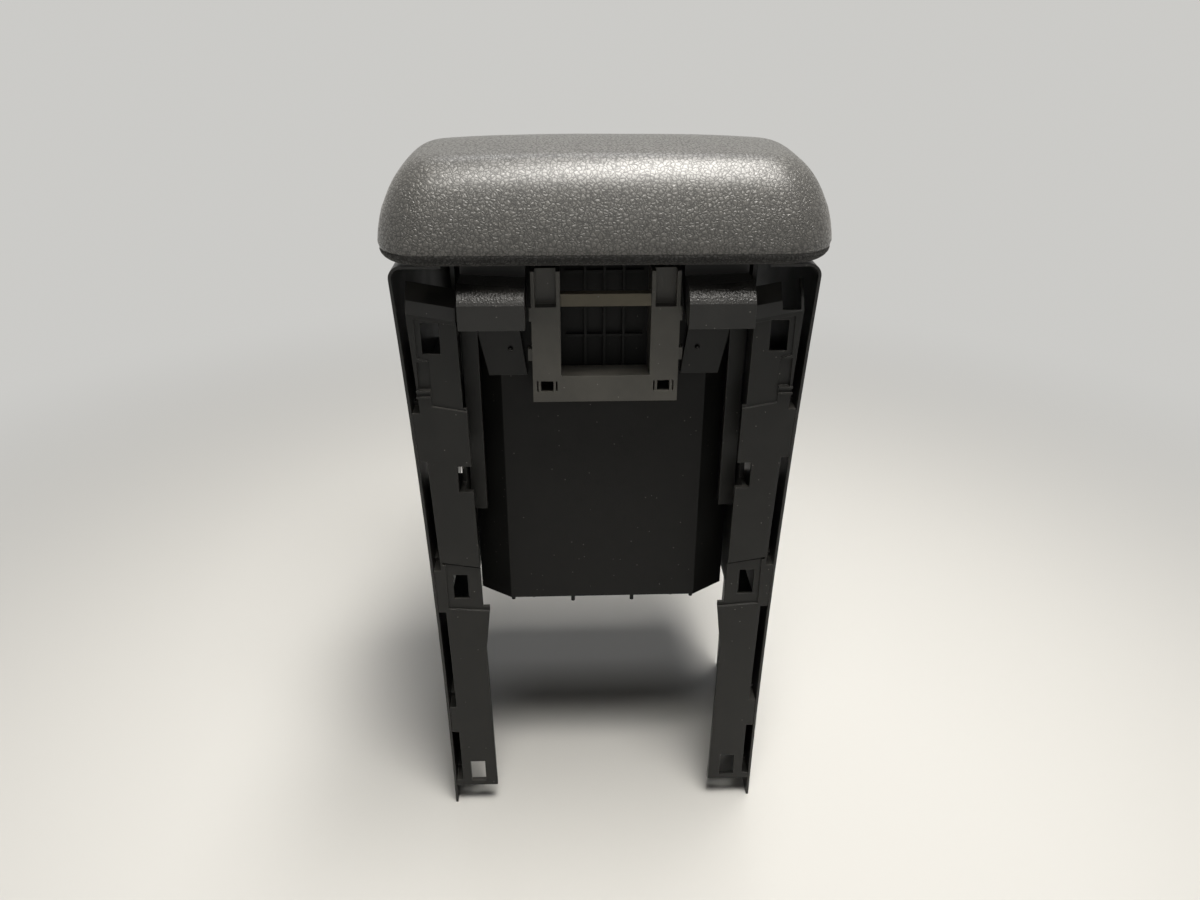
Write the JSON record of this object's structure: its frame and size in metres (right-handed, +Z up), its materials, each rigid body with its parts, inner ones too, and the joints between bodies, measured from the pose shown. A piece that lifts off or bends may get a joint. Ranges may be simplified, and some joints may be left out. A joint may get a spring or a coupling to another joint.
{
  "type": "car centre armrest",
  "caption": "Padded armrest lid hinged at the rear of a deep open bin that hangs between two tall flared side panels.",
  "frame": {"origin": "on the floor, under the middle of the armrest's overall box", "axes": "+Z up, +Y from the rear hinge side towards the front, +X across the width"},
  "size_m": [0.241, 0.247, 0.4464],
  "materials": {
    "cover": "fine pebble grain, satin",
    "grained_plastic": "moulded grain",
    "black_plastic": "smooth satin",
    "bin_plastic": "smooth matte",
    "grey_plastic": "plain matte",
    "bar_plastic": "plain matte",
    "steel": "plain",
    "spring_steel": "oiled",
    "rubber": "matte",
    "mat": "short felt"
  },
  "bodies": {
    "box": {"hinge_pin_left": "steel", "hinge_pin_right": "steel", "hinge_spring_left": "spring_steel", "hinge_spring_right": "spring_steel", "hinge_carrier_left": "black_plastic", "hinge_carrier_right": "black_plastic", "carrier_screws": "steel", "side_frame_left": "black_plastic", "side_frame_right": "black_plastic", "frame_screws": "steel", "side_panel_left": "grained_plastic", "side_panel_right": "grained_plastic", "centre_bracket": "grey_plastic", "cross_bar": "bar_plastic", "storage_bin": "bin_plastic", "bin_mat": "mat", "bump_stops": "rubber", "striker_plate": "steel", "striker_screws": "steel"},
    "lid": {"lid_pad": "cover", "lid_base": "black_plastic", "lid_liner": "grained_plastic", "lid_screws": "spring_steel", "hinge_arm_left": "grained_plastic", "hinge_arm_right": "grained_plastic", "arm_screws": "steel", "latch_pin": "steel", "latch_spring": "spring_steel"},
    "latch": {"latch_lever": "grained_plastic"}
  },
  "joints": [
    {"name": "lid_hinge", "type": "hinge", "parent": "box", "child": "lid", "pos_m": [0, -0.0955, 0.365], "axis": [1, 0, 0], "range_deg": [0, 85]},
    {"name": "latch_pivot", "type": "hinge", "parent": "lid", "child": "latch", "pos_m": [0, 0.1025, 0.3868], "axis": [1, 0, 0], "range_deg": [0, 10], "stiffness_Nm_per_rad": 0.08, "springref_deg": -17.19}
  ]
}
